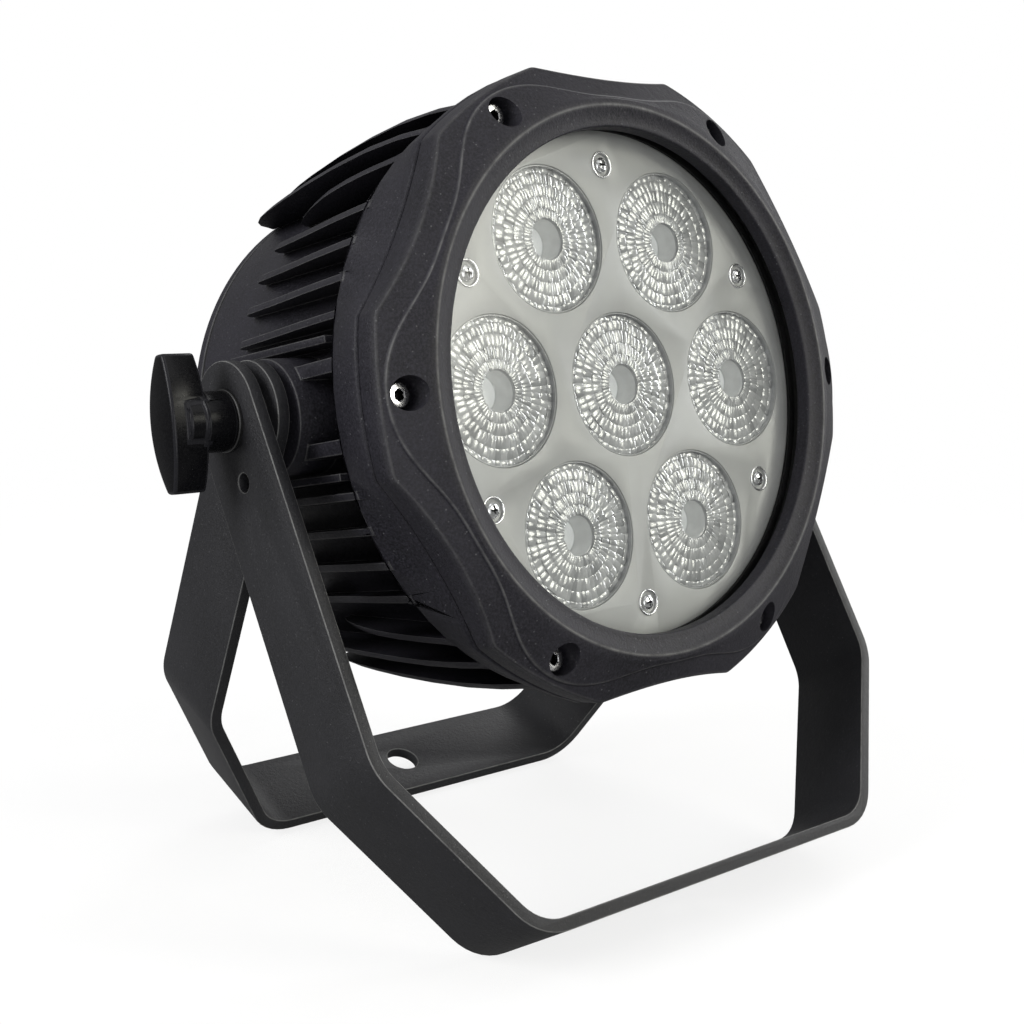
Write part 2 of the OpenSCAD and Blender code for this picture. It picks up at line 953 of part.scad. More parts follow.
module gland_nuts() {
    color(black_plastic)
        head()
            at_glands()
                difference() {
                    union() {
                        translate([0, 0, cover_back_z - 14.5])
                            cylinder(h = 9, r = gland_hex_r - 0.7, $fn = 6);
                        rotate_extrude()
                            polygon(concat(
                                [[0, cover_back_z - 14]],
                                [[9.3, cover_back_z - 14]],
                                [for (i = [0:5]) [4.9, cover_back_z - 17.5] + polar(4.5, -15 * i)],
                                [[5, gland_end_z], [0, gland_end_z]]));
                    }
                    rod(gland_thread_r + thread_gap, cover_back_z - 14, cover_back_z);
                    rod(5.6, cover_back_z - 17, cover_back_z);
                    rod(gland_mouth_r + 0.2, gland_end_z - 1, cover_back_z);
                }
}

module vent_plug() {
    color(black_plastic)
        head()
            translate(vent_place) {
                rod(6, cover_back_z - 1, cover_front_z + 3);
                translate([0, 0, cover_back_z - 3]) cylinder(h = 3, r = 9, $fn = 6);
                rod(7, cover_back_z - 4.5, cover_back_z - 2);
                tube(5.5, 2.4, cover_back_z - 5.5, cover_back_z - 3);
            }
}

module safety_loop() {
    color(bright_steel)
        head()
            difference() {
                union() {
                    translate([0, loop_y, 0])
                        round_plate(38, 12, 4, cover_back_z - 2.5, cover_back_z);
                    translate([-loop_t / 2, loop_y, loop_z])
                        rotate([0, 90, 0])
                            cylinder(h = loop_t, r = loop_r);
                    translate([-loop_t / 2, loop_y - 6, loop_z])
                        cube([loop_t, 12, cover_back_z - loop_z]);
                }
                translate([-10, loop_y, loop_z])
                    rotate([0, 90, 0])
                        cylinder(h = 20, r = loop_hole_r);
                for (x = [-13, 13])
                    translate([x, loop_y, 0]) rod(2.2, cover_back_z - 4, cover_back_z + 1);
            }
}

module safety_loop_screws() {
    color(bright_steel)
        head()
            translate([0, 0, -2.5])
                back_screws([[-13, loop_y], [13, loop_y]], 3.6, 2.2, 1.95, 5.5);
}

// ---------- clamp knobs ----------

module knob_washer_right() {
    color(bright_steel)
        pivot_washer(front_half_w + face_gap, hub_x, 8.6, stud_r + thread_gap);
}

module knob_washer_left() {
    mirror([1, 0, 0]) knob_washer_right();
}

// Wing of the knob: thicker in the middle than at its ends, with a domed outer face
module wing() {
    end_t = 3.6;
    mid_t = 12.6;
    rise = (mid_t - end_t) / 2;
    arc_r = (knob_h * knob_h / 4 + rise * rise) / (2 * rise);
    dome_rise = 0.9;
    dome_r = (knob_h * knob_h / 4 + dome_rise * dome_rise) / (2 * dome_rise);
    intersection() {
        // outline seen along the pivot axis
        translate([wing_x, 0, 0])
            rotate([90, 0, 90])
                linear_extrude(height = 14)
                    intersection() {
                        translate([0, mid_t / 2 - arc_r]) circle(r = arc_r, $fn = 160);
                        translate([0, arc_r - mid_t / 2]) circle(r = arc_r, $fn = 160);
                        square([knob_h, 20], center = true);
                    }
        // outline seen from the front
        translate([knob_out_x - dome_r, 0, -20])
            cylinder(h = 40, r = dome_r, $fn = 160);
    }
}

module knob_right() {
    color(black_plastic)
        head()
            translate([0, 0, -pivot_depth])
                rotate([knob_lean, 0, 0])
                    difference() {
                        union() {
                            wing();
                            rotate([0, 90, 0]) rod(8.3, hub_x, wing_x + 1);
                            rotate([0, 90, 0]) rod(7.8, wing_x, wing_x + 6);
                        }
                        rotate([0, 90, 0]) rod(stud_r + 0.02, 90, wing_x + 4);
                    }
}

module knob_left() {
    mirror([1, 0, 0]) knob_right();
}

module knob_stud_right() {
    color(bright_steel)
        head()
            along_pivot(0)
                rod(stud_r, insert_in_x + 3, wing_x + 4);
}

module knob_stud_left() {
    mirror([1, 0, 0]) knob_stud_right();
}

front_bracket();
rear_bracket();
outer_washer_left();
outer_washer_right();
inner_washer_left();
inner_washer_right();
heatsink_body();
front_bezel();
bezel_gasket();
bezel_screws();
front_glass();
glass_seal();
lens_plate();
lens_plate_screws();
lens_center();
lens_1();
lens_2();
lens_3();
lens_4();
lens_5();
lens_6();
lens_holders();
led_board();
led_emitters();
led_board_screws();
driver_board();
driver_standoffs();
driver_transformer();
driver_capacitors();
driver_heat_bar();
control_board();
display_module();
display_window();
button_switches();
rear_cover();
rear_cover_gasket();
rear_cover_screws();
gland_bodies();
gland_seals();
gland_nuts();
gland_locknuts();
vent_plug();
safety_loop();
safety_loop_screws();
pivot_inserts();
knob_washer_left();
knob_washer_right();
knob_left();
knob_right();
knob_stud_left();
knob_stud_right();
menu_button_1();
menu_button_2();
menu_button_3();
menu_button_4();
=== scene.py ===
"""Par can light: its looks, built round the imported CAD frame.

Lengths are metres, apart from the shapes of the head, which are drawn in millimetres in the head
frame (x right, y up, z forward out of the lenses, z = 0 on the bezel's face) and placed by HEAD.
"""
import json
import math

import bmesh
import bpy
from mathutils import Matrix, Vector


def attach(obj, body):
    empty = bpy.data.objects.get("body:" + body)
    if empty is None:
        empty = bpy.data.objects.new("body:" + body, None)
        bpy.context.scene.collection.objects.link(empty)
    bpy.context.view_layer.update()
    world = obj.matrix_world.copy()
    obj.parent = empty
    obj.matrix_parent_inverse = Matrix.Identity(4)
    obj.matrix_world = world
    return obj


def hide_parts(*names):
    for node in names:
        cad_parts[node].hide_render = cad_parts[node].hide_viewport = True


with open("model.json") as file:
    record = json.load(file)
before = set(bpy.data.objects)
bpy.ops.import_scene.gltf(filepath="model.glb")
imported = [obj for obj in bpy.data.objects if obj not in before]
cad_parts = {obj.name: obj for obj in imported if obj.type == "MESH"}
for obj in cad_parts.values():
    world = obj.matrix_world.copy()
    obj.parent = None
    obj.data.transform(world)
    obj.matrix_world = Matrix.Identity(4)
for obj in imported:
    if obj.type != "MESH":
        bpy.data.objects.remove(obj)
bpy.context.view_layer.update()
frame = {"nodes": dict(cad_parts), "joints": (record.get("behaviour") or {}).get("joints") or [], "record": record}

# ---------------------------------------------------------------- frames

MM = 0.001
BEAM_TILT = math.radians(12.5)
PIVOT_DEPTH = 0.059
PIVOT = Vector(next(j["pos_m"] for j in frame["joints"] if j["name"] == "head_tilt"))
HEAD = (Matrix.Translation(PIVOT) @ Matrix.Rotation(math.radians(90) - BEAM_TILT, 4, "X")
        @ Matrix.Translation((0, 0, PIVOT_DEPTH)) @ Matrix.Scale(MM, 4))
INTO_HEAD = HEAD.inverted()


# ---------------------------------------------------------------- camera and light

# The camera, with its place measured from the pivot
FOCAL_MM = 55.4
SENSOR_MM = 36
CAMERA_PLACE = Vector((-0.3285, -0.3655, 0.0542))
CAMERA_RIGHT = Vector((0.7453, -0.6657, 0.0364))
CAMERA_UP = Vector((0.092, 0.156, 0.983))

# The window light: where it stands as seen from the object, its outer edge and its even core
WINDOW_SIDE = math.radians(30)
WINDOW_WAY = Vector((math.sin(WINDOW_SIDE), -math.cos(WINDOW_SIDE), 0.40)).normalized()
WINDOW_EDGE = math.radians(17)
WINDOW_CORE = math.radians(5)
WINDOW_COLOUR = (10.6, 10.45, 9.4, 1)

# The grey of the surroundings, from below to above, and the heights between which it changes
GREY_BELOW = 0.17
GREY_ABOVE = 0.55
GREY_HEIGHTS = (-0.2, 0.95)

# The floor: half its side, and how far from the middle and how strongly it fades
FLOOR_HALF = 1.5
FLOOR_FADE = (0.15, 0.75)
FLOOR_ALPHA = 0.2


def make_camera():
    """Stands in front, to the left and a little above, and looks at the head."""
    data = bpy.data.cameras.new("camera")
    data.lens = FOCAL_MM
    data.sensor_width = SENSOR_MM
    camera = bpy.data.objects.new("camera", data)
    bpy.context.scene.collection.objects.link(camera)
    back = CAMERA_RIGHT.cross(CAMERA_UP).normalized()
    up = back.cross(CAMERA_RIGHT).normalized()
    turn = Matrix((CAMERA_RIGHT.normalized(), up, back)).transposed().to_4x4()
    camera.matrix_world = Matrix.Translation(PIVOT + CAMERA_PLACE) @ turn
    bpy.context.scene.camera = camera


def area_light(name, place, size, power):
    """A soft white box aimed at the pivot."""
    data = bpy.data.lights.new(name, "AREA")
    data.shape = "RECTANGLE"
    data.size, data.size_y = size
    data.energy = power
    light = bpy.data.objects.new(name, data)
    bpy.context.scene.collection.objects.link(light)
    light.location = place
    light.rotation_euler = (PIVOT - Vector(place)).to_track_quat("-Z", "Y").to_euler()


def add_node(tree, kind, **settings):
    """A new node with its settings made."""
    node = tree.nodes.new(kind)
    for key, value in settings.items():
        setattr(node, key, value)
    return node


def map_range(tree, value, low, high, to_low, to_high, **settings):
    """Maps a value from low..high to to_low..to_high and keeps it inside."""
    node = add_node(tree, "ShaderNodeMapRange", **settings)
    for key, number in (("From Min", low), ("From Max", high), ("To Min", to_low), ("To Max", to_high)):
        node.inputs[key].default_value = number
    tree.links.new(value, node.inputs["Value"])
    return node.outputs["Result"]


def make_world():
    """A white backdrop for the camera; a soft grey, brighter from above, and one window light the object."""
    world = bpy.data.worlds.new("studio")
    world.use_nodes = True
    tree = world.node_tree
    way = add_node(tree, "ShaderNodeTexCoord").outputs["Generated"]
    split = add_node(tree, "ShaderNodeSeparateXYZ")
    tree.links.new(way, split.inputs[0])
    grey = map_range(tree, split.outputs["Z"], *GREY_HEIGHTS, GREY_BELOW, GREY_ABOVE)
    toward = add_node(tree, "ShaderNodeVectorMath", operation="DOT_PRODUCT")
    toward.inputs[1].default_value = WINDOW_WAY
    tree.links.new(way, toward.inputs[0])
    glow = map_range(tree, toward.outputs["Value"], math.cos(WINDOW_EDGE), math.cos(WINDOW_CORE), 0.0, 1.0,
                     interpolation_type="SMOOTHSTEP")
    colour = add_node(tree, "ShaderNodeMix", data_type="RGBA")
    colour.inputs[7].default_value = WINDOW_COLOUR
    tree.links.new(glow, colour.inputs[0])
    tree.links.new(grey, colour.inputs[6])
    lit = tree.nodes["Background"]
    tree.links.new(colour.outputs[2], lit.inputs["Color"])
    white = add_node(tree, "ShaderNodeBackground")
    white.inputs["Color"].default_value = (1, 1, 1, 1)
    blend = add_node(tree, "ShaderNodeMixShader")
    tree.links.new(add_node(tree, "ShaderNodeLightPath").outputs["Is Camera Ray"], blend.inputs[0])
    tree.links.new(lit.outputs[0], blend.inputs[1])
    tree.links.new(white.outputs[0], blend.inputs[2])
    tree.links.new(blend.outputs[0], tree.nodes["World Output"].inputs["Surface"])
    bpy.context.scene.world = world


def make_lights():
    make_world()
    area_light("key", (-1.3, 0.15, 0.75), (0.6, 0.9), 18.5)
    area_light("side", (1.25, -0.42, 0.50), (0.22, 0.8), 7)
    area_light("rim", (0.9, 0.5, 0.8), (0.5, 0.9), 4)
    area_light("top", (0.05, -0.6, 1.25), (0.7, 0.7), 2)
    area_light("fill", (-0.55, -1.15, 0.25), (0.7, 0.7), 5)
    bpy.context.scene.view_settings.view_transform = "Standard"


def make_floor():
    """One wide pale sheet on the ground, which fades into the backdrop."""
    mesh = bpy.data.meshes.new("floor")
    corners = [(x * FLOOR_HALF, y * FLOOR_HALF, 0) for x, y in ((-1, -1), (1, -1), (1, 1), (-1, 1))]
    mesh.from_pydata(corners, [], [(0, 1, 2, 3)])
    floor = bpy.data.objects.new("floor", mesh)
    bpy.context.scene.collection.objects.link(floor)
    mesh.materials.append(floor_paint())


# ---------------------------------------------------------------- materials

# Shared colours of the finishes
PALE_SPECK = (0.15, 0.15, 0.155)
# Lighter marked edges of the coats: partly rubbed wear, partly a painted highlight
RUBBED_AND_LIT_EDGE = (0.20, 0.20, 0.195)
# Painted shade for the marked recesses of bright metal
RECESS_SHADE = (0.02, 0.02, 0.02)

# How fine the grain of moulded plastic and the tool marks of metal are, and how deep the coat's grain is
SPARK_GRAIN = 1500.0
TOOL_MARKS = 900
COAT_DEPTH = 0.0002


class Graph:
    """A short way to write a material's nodes."""

    def __init__(self, name):
        self.material = bpy.data.materials.new(name)
        self.material.use_nodes = True
        self.tree = self.material.node_tree
        self.shader = self.tree.nodes["Principled BSDF"]
        self.place = self.add("ShaderNodeTexCoord").outputs["Object"]

    def add(self, kind, **settings):
        return add_node(self.tree, kind, **settings)

    def link(self, output, node_input):
        self.tree.links.new(output, node_input)

    def feed(self, socket, value):
        """Links a socket to a node's output, or sets it to a number or a colour of three parts."""
        if isinstance(value, bpy.types.NodeSocket):
            self.link(value, socket)
        elif isinstance(value, tuple):
            socket.default_value = (*value, 1)
        else:
            socket.default_value = value

    def noise(self, scale, detail=2.0, rough=0.5, stretch=None):
        node = self.add("ShaderNodeTexNoise")
        node.inputs["Scale"].default_value = scale
        node.inputs["Detail"].default_value = detail
        node.inputs["Roughness"].default_value = rough
        place = self.place
        if stretch:
            mapping = self.add("ShaderNodeMapping")
            mapping.inputs["Scale"].default_value = stretch
            self.link(place, mapping.inputs["Vector"])
            place = mapping.outputs["Vector"]
        self.link(place, node.inputs["Vector"])
        return node.outputs["Fac"]

    def cells(self, scale):
        node = self.add("ShaderNodeTexVoronoi")
        node.inputs["Scale"].default_value = scale
        self.link(self.place, node.inputs["Vector"])
        return node.outputs["Distance"]

    def ramp(self, value, low, high, colours):
        """Maps value between low and high to a range of two colours."""
        node = self.add("ShaderNodeValToRGB")
        node.color_ramp.elements[0].position = low
        node.color_ramp.elements[1].position = high
        for element, colour in zip(node.color_ramp.elements, colours):
            element.color = (*colour, 1)
        self.link(value, node.inputs["Fac"])
        return node.outputs["Color"]

    def span(self, value, low, high, to_low, to_high):
        return map_range(self.tree, value, low, high, to_low, to_high)

    def mix(self, factor, a, b):
        """Colour a where factor is 0, colour b where it is 1."""
        node = self.add("ShaderNodeMix", data_type="RGBA")
        for value, socket in ((factor, node.inputs[0]), (a, node.inputs[6]), (b, node.inputs[7])):
            self.feed(socket, value)
        return node.outputs[2]

    def calculate(self, operation, a, b):
        node = self.add("ShaderNodeMath", operation=operation)
        self.feed(node.inputs[0], a)
        self.feed(node.inputs[1], b)
        return node.outputs[0]

    def plus(self, a, b):
        return self.calculate("ADD", a, b)

    def times(self, a, b):
        return self.calculate("MULTIPLY", a, b)

    def mark(self):
        """What the mesh is marked with: edges painted lighter on a coat, as wear and a painted highlight, and on
        plastic, as a painted highlight; recesses on metal painted dark, a painted shade; on a lens, its glowing
        well, painted light, and facets painted darker, a painted shade.
        """
        return self.add("ShaderNodeAttribute", attribute_name="mark").outputs["Fac"]

    def bump(self, height, strength, distance):
        node = self.add("ShaderNodeBump")
        node.inputs["Strength"].default_value = strength
        node.inputs["Distance"].default_value = distance
        self.link(height, node.inputs["Height"])
        self.link(node.outputs["Normal"], self.shader.inputs["Normal"])

    def set(self, **values):
        """Feeds the shader's inputs; an underscore stands for a space."""
        for key, value in values.items():
            self.feed(self.shader.inputs[key.replace("_", " ")], value)
        return self.material


def powder_coat(name, dark, light, grain, rough, edge_mark, gloss):
    """Black powder paint: an orange-peel grain, sparse pale specks and marked edges lighter, partly rubbed wear
    and partly a painted highlight.
    """
    g = Graph(name)
    fine = g.noise(grain, 3, 0.7)
    broad = g.noise(30, 3, 0.6)
    body = g.ramp(fine, 0.40, 0.66, (dark, light))
    body = g.mix(g.span(broad, 0.35, 0.75, 0.0, 0.4), body, tuple(c * 1.5 for c in light))
    speck = g.times(g.span(g.cells(grain * 0.55), 0.04, 0.24, 1.0, 0.0),
                    g.span(g.noise(grain * 0.5, 1), 0.56, 0.66, 0.0, 0.6))
    body = g.mix(speck, body, PALE_SPECK)
    # Marked edges lighter: rubbed wear and a painted highlight along them
    rubbed_and_lit = g.times(g.mark(), g.span(g.noise(220, 3, 0.7), 0.35, 0.62, edge_mark * 0.45, edge_mark))
    body = g.mix(rubbed_and_lit, body, RUBBED_AND_LIT_EDGE)
    g.bump(g.plus(fine, g.noise(grain * 0.35, 2)), 0.6, COAT_DEPTH)
    roughness = g.plus(g.span(fine, 0.3, 0.7, rough - 0.08, rough + 0.1), g.span(broad, 0, 1, -0.05, 0.05))
    return g.set(Base_Color=body, Roughness=roughness, Specular_IOR_Level=gloss)


def moulded(name, dark, light, rough, depth=0.00005, gloss=0.4):
    """Moulded black plastic or rubber with a fine spark texture and marked edges painted paler, a painted
    highlight.
    """
    g = Graph(name)
    fine = g.noise(SPARK_GRAIN, 3, 0.6)
    broad = g.noise(60, 2)
    body = g.ramp(g.plus(g.times(fine, 0.6), g.times(broad, 0.4)), 0.35, 0.7, (dark, light))
    # Painted highlight: the marked edges are made paler
    body = g.mix(g.times(g.mark(), 0.5), body, tuple(c * 6 for c in light))
    g.bump(fine, 0.35, depth)
    return g.set(Base_Color=body, Roughness=g.span(fine, 0.3, 0.7, rough - 0.06, rough + 0.08),
                 Specular_IOR_Level=gloss)


def bright_metal(name, colour, rough, stretch=(1, 1, 1)):
    """Turned or stamped metal with fine tool marks, and painted shade, dark, where the mesh is marked, as in the
    screws' recesses.
    """
    g = Graph(name)
    marks = g.noise(TOOL_MARKS, 4, 0.6, stretch)
    tint = g.ramp(g.noise(120, 2), 0.3, 0.75, (tuple(c * 0.78 for c in colour), colour))
    # Painted shade: dark where the mesh is marked
    tint = g.mix(g.mark(), tint, RECESS_SHADE)
    g.bump(marks, 0.12, 0.00004)
    return g.set(Base_Color=tint, Metallic=1.0,
                 Roughness=g.span(marks, 0.3, 0.7, rough - 0.05, rough + 0.12))


def soft_paint(name, dark, light, rough, scale=700.0, depth=0.00004):
    """A matt paint, print or board with a slight mottle."""
    g = Graph(name)
    fine = g.noise(scale, 3, 0.6)
    broad = g.noise(25, 2)
    body = g.ramp(g.plus(g.times(fine, 0.5), g.times(broad, 0.5)), 0.35, 0.68, (dark, light))
    g.bump(fine, 0.2, depth)
    return g.set(Base_Color=body, Roughness=g.span(fine, 0.3, 0.7, rough - 0.05, rough + 0.07))


def floor_paint():
    """Pale paper: mostly see-through under the object, so that its shadow stays faint, clear further out."""
    material = soft_paint("floor_paint", (0.90, 0.90, 0.90), (0.94, 0.94, 0.94), 0.6, 60.0)
    tree = material.node_tree
    reach = add_node(tree, "ShaderNodeVectorMath", operation="LENGTH")
    tree.links.new(add_node(tree, "ShaderNodeTexCoord").outputs["Object"], reach.inputs[0])
    fade = map_range(tree, reach.outputs["Value"], *FLOOR_FADE, FLOOR_ALPHA, 0.0)
    tree.links.new(fade, tree.nodes["Principled BSDF"].inputs["Alpha"])
    return material


def clear_sheet(name, tint, ior):
    """Thin clear glass: it lets light straight through, and its front mirrors what stands before it."""
    g = Graph(name)
    smear = g.noise(18, 3, 0.6)
    clear = g.add("ShaderNodeBsdfTransparent")
    g.feed(clear.inputs["Color"], tint)
    gloss = g.add("ShaderNodeBsdfGlossy")
    g.feed(gloss.inputs["Roughness"], g.span(smear, 0.3, 0.7, 0.02, 0.06))
    fresnel = g.add("ShaderNodeFresnel")
    g.feed(fresnel.inputs["IOR"], ior)
    facing = g.calculate("SUBTRACT", 1.0, g.add("ShaderNodeNewGeometry").outputs["Backfacing"])
    blend = g.add("ShaderNodeMixShader")
    g.link(g.times(fresnel.outputs["Fac"], facing), blend.inputs[0])
    g.link(clear.outputs[0], blend.inputs[1])
    g.link(gloss.outputs[0], blend.inputs[2])
    g.link(blend.outputs[0], g.tree.nodes["Material Output"].inputs["Surface"])
    return g.material


def lens_acrylic():
    """Clear acrylic: pale facets with a glossy skin, and a matt well that glows a little, painted light for the
    light inside the acrylic, with its floor painted paler than its wall, painted light and shade.

    The mark is below 0 on facets painted darker, a painted shade, 0.5 on the well's wall and 1 on its floor.
    """
    g = Graph("lens_acrylic")
    haze = g.noise(220, 3, 0.6)
    mark = g.mark()
    facet = g.ramp(haze, 0.3, 0.72, ((0.31, 0.315, 0.318), (0.42, 0.425, 0.428)))
    # Painted shade: the facets marked below 0 are darkened
    facet = g.mix(g.span(mark, -1, 0, 0.6, 0), facet, (0.13, 0.135, 0.14))
    # The well's wall painted darker than its floor: painted shade and painted light
    wall = g.ramp(g.noise(260, 2), 0.35, 0.7, ((0.42, 0.425, 0.42), (0.50, 0.505, 0.50)))
    floor = g.ramp(g.noise(160, 2), 0.35, 0.7, ((0.70, 0.71, 0.705), (0.82, 0.83, 0.825)))
    in_well = g.span(mark, 0.1, 0.5, 0, 1)
    body = g.mix(in_well, facet, wall)
    body = g.mix(g.span(mark, 0.5, 1.0, 0, 1), body, floor)
    # Painted light: the well glows a little, though it is no lamp
    glow = g.mix(in_well, (0.0, 0.0, 0.0), (0.10, 0.102, 0.10))
    return g.set(Base_Color=body, Metallic=g.span(in_well, 0, 1, 0.10, 0.0),
                 Emission_Color=glow, Emission_Strength=1.0,
                 Roughness=g.plus(g.span(haze, 0.3, 0.7, 0.15, 0.27), g.times(in_well, 0.35)),
                 Coat_Weight=g.span(in_well, 0, 1, 0.75, 0.1), Coat_Roughness=0.05)


def make_materials():
    """One material for each slot of the record."""
    return {
        "body_coat": powder_coat("body_coat", (0.0062, 0.0059, 0.0078), (0.0205, 0.0196, 0.0255),
                                 1500.0, 0.5, edge_mark=0.55, gloss=0.19),
        "bracket_coat": powder_coat("bracket_coat", (0.008, 0.008, 0.0092), (0.017, 0.017, 0.0195),
                                    2300.0, 0.5, edge_mark=0.7, gloss=0.28),
        "knob_plastic": moulded("knob_plastic", (0.002, 0.002, 0.0025), (0.006, 0.006, 0.007), 0.24,
                                depth=0.00001, gloss=0.12),
        "button_plastic": moulded("button_plastic", (0.012, 0.012, 0.012), (0.03, 0.03, 0.03), 0.42),
        "dark_plastic": moulded("dark_plastic", (0.004, 0.004, 0.004), (0.011, 0.011, 0.011), 0.4),
        "black_rubber": moulded("black_rubber", (0.004, 0.004, 0.004), (0.010, 0.010, 0.010), 0.68,
                                gloss=0.2),
        "bright_steel": bright_metal("bright_steel", (0.80, 0.80, 0.82), 0.2),
        "clear_glass": clear_sheet("clear_glass", (0.975, 0.98, 0.975), 1.45),
        "clear_lens": lens_acrylic(),
        "grey_plate": soft_paint("grey_plate", (0.30, 0.301, 0.298), (0.37, 0.371, 0.365), 0.40,
                                 scale=90.0, depth=0.00002),
        "white_board": soft_paint("white_board", (0.70, 0.70, 0.68), (0.82, 0.82, 0.80), 0.35),
        "emitter": soft_paint("emitter", (0.70, 0.62, 0.25), (0.88, 0.82, 0.45), 0.2),
        "green_board": soft_paint("green_board", (0.03, 0.17, 0.08), (0.05, 0.26, 0.13), 0.3),
        "copper_winding": bright_metal("copper_winding", (0.72, 0.42, 0.18), 0.35, (1, 1, 6)),
        "capacitor_sleeve": soft_paint("capacitor_sleeve", (0.04, 0.05, 0.11), (0.07, 0.09, 0.18), 0.3),
        "bare_aluminium": bright_metal("bare_aluminium", (0.76, 0.76, 0.77), 0.35, (1, 8, 1)),
        "tinted_window": soft_paint("tinted_window", (0.012, 0.004, 0.004), (0.03, 0.008, 0.008), 0.07),
        "insert_brass": bright_metal("insert_brass", (0.78, 0.62, 0.30), 0.3),
    }


MATERIALS = make_materials()
SLOT_OF = {row["node"]: row["material_slot"] for row in frame["record"]["subparts"]}
BODY_OF = {node: body for body, nodes in frame["record"]["behaviour"]["bodies"].items() for node in nodes}


# ---------------------------------------------------------------- ways of making pieces

def coat(piece, slot):
    piece.data.materials.clear()
    piece.data.materials.append(MATERIALS[slot])


def smooth(piece, angle):
    """Rounds the shading, but keeps edges sharper than angle, in degrees, crisp."""
    for face in piece.data.polygons:
        face.use_smooth = True
    piece.data.set_sharp_from_angle(angle=math.radians(angle))


def dress(piece, node):
    """Puts a new piece in a CAD node's place, on the same body and with the same finish."""
    coat(piece, SLOT_OF[node])
    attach(piece, BODY_OF[node])
    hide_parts(node)


def apply_modifiers(piece):
    """Bakes the piece's modifiers into its mesh."""
    depsgraph = bpy.context.evaluated_depsgraph_get()
    mesh = bpy.data.meshes.new_from_object(piece.evaluated_get(depsgraph))
    piece.modifiers.clear()
    old = piece.data
    piece.data = mesh
    mesh.name = piece.name
    bpy.data.meshes.remove(old)


def refine(node, width, segments=2, edge_mark=1.0, marked_below=math.inf, before=None):
    """A copy of a CAD node with its sharp edges rounded by width, in millimetres, and marked for its finish to
    paint them lighter or darker.

    Edges past marked_below on the head's z axis stay unmarked; before changes the copy first.
    """
    mesh = frame["nodes"][node].data.copy()
    bm = bmesh.new()
    bm.from_mesh(mesh)
    if before:
        before(bm)
    bmesh.ops.remove_doubles(bm, verts=bm.verts, dist=2e-6)
    bmesh.ops.dissolve_limit(bm, angle_limit=math.radians(0.5), verts=bm.verts, edges=bm.edges)
    for face in bm.faces:
        face.material_index = 0
    bm.to_mesh(mesh)
    bm.free()
    # The rounded edges get the second of two equal materials, by which they are found afterwards
    mesh.materials.clear()
    for _ in range(2):
        mesh.materials.append(MATERIALS[SLOT_OF[node]])
    piece = bpy.data.objects.new(node + "_shape", mesh)
    bpy.context.scene.collection.objects.link(piece)
    bevel = piece.modifiers.new("edges", "BEVEL")
    bevel.width = width * MM
    bevel.segments = segments
    bevel.limit_method = "ANGLE"
    bevel.angle_limit = math.radians(30)
    bevel.use_clamp_overlap = False
    bevel.material = 1
    apply_modifiers(piece)
    # The marks, which the coats paint lighter as wear and a painted highlight
    edge_marks = [edge_mark * face.material_index * ((INTO_HEAD @ face.center).z < marked_below)
            for face in piece.data.polygons]
    for face in piece.data.polygons:
        face.material_index = 0
    piece.data.attributes.new("mark", "FLOAT", "FACE").data.foreach_set("value", edge_marks)
    smooth(piece, 40)
    dress(piece, node)


def new_piece(name, bm):
    """Makes an object of a bmesh drawn in the head frame."""
    bmesh.ops.transform(bm, matrix=HEAD, verts=bm.verts)
    bmesh.ops.recalc_face_normals(bm, faces=bm.faces)
    mesh = bpy.data.meshes.new(name)
    bm.to_mesh(mesh)
    bm.free()
    piece = bpy.data.objects.new(name, mesh)
    bpy.context.scene.collection.objects.link(piece)
    return piece


def lathe(outline, steps, closed=False, centre=(0, 0)):
    """Turns outline(angle), a list of (radius, z) or (radius, z, mark), round the z axis.

    A radius of 0 makes a point.
    """
    bm = bmesh.new()
    layer = bm.verts.layers.float.new("mark")
    columns = []
    tips = {}
    for i in range(steps):
        angle = 2 * math.pi * i / steps
        column = []
        for k, (r, z, *mark) in enumerate(outline(angle)):
            if r == 0 and k in tips:
                column.append(tips[k])
                continue
            corner = bm.verts.new((centre[0] + r * math.cos(angle), centre[1] + r * math.sin(angle), z))
            corner[layer] = mark[0] if mark else 0.0
            column.append(corner)
            if r == 0:
                tips[k] = corner
        columns.append(column)
    count = len(columns[0])
    for i in range(steps):
        a, b = columns[i], columns[(i + 1) % steps]
        for k in range(count if closed else count - 1):
            corners = [a[k], b[k], b[(k + 1) % count], a[(k + 1) % count]]
            bm.faces.new(list(dict.fromkeys(corners)))
    return bm


def arc(cx, cy, r, start, end, steps):
    """Points round an arc, angles in degrees."""
    turns = [math.radians(start + (end - start) * i / steps) for i in range(steps + 1)]
    return [(cx + r * math.cos(a), cy + r * math.sin(a)) for a in turns]


def ring_of(radius, angles):
    """Places round a circle, angles in degrees."""
    return [(radius * math.cos(math.radians(a)), radius * math.sin(math.radians(a))) for a in angles]


def cut(piece, cutter):
    """Takes the cutter's solid out of the piece."""
    tool = piece.modifiers.new("cut", "BOOLEAN")
    tool.operation = "DIFFERENCE"
    tool.solver = "EXACT"
    tool.object = cutter
    apply_modifiers(piece)
    bpy.data.objects.remove(cutter)


# ---------------------------------------------------------------- cast body

# The ribs between the top fins: their rear end, their top, how far below it the outermost fin's face may
# lie, and how near two values have to be to count as the same
FLANGE_Z = -12.9
RIB_END_Z = -90
RIB_TOP_Y = 80
RIB_REACH = 6
NEAR = 0.05


